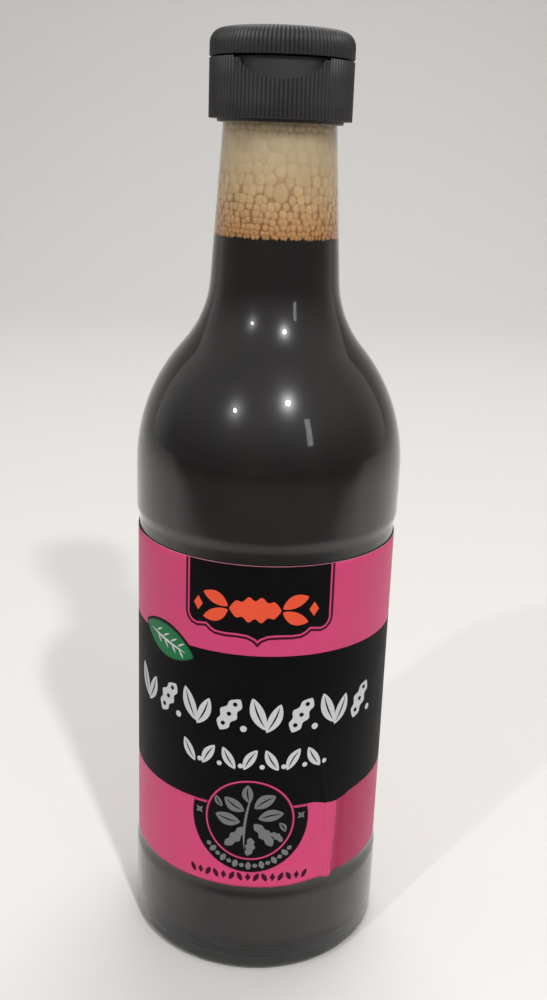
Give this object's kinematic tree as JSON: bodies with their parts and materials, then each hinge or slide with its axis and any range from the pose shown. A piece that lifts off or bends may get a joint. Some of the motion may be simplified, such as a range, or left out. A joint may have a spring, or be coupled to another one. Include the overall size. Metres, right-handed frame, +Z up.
{
  "type": "soy sauce bottle",
  "caption": "Tall round glass bottle of dark sauce with froth in its neck, a paper wrap label and a ribbed black flip-top cap.",
  "frame": {"origin": "middle of the base, on the surface the bottle stands on", "axes": "+Z up along the bottle's axis, the cap's thumb notch and the label's front face -Y, the lid hinges at +Y"},
  "size_m": [0.0546, 0.0546, 0.1898],
  "materials": {
    "clear_glass": "clear, glossy",
    "dark_sauce": "near-black brown liquid, wet gloss",
    "froth": "wet amber bubbles",
    "label_paper": "coated paper, magenta and black bands",
    "black_cap": "moulded, fine ribs"
  },
  "bodies": {
    "bottle": {"bottle_glass": "clear_glass", "soy_sauce": "dark_sauce", "foam": "froth", "label": "label_paper", "cap_base": "black_cap"},
    "lid": {"cap_lid": "black_cap"}
  },
  "joints": [
    {"name": "lid_hinge", "type": "hinge", "parent": "bottle", "child": "lid", "pos_m": [0, 0.0139, 0.1841], "axis": [-1, 0, 0], "range_deg": [0, 135]}
  ]
}
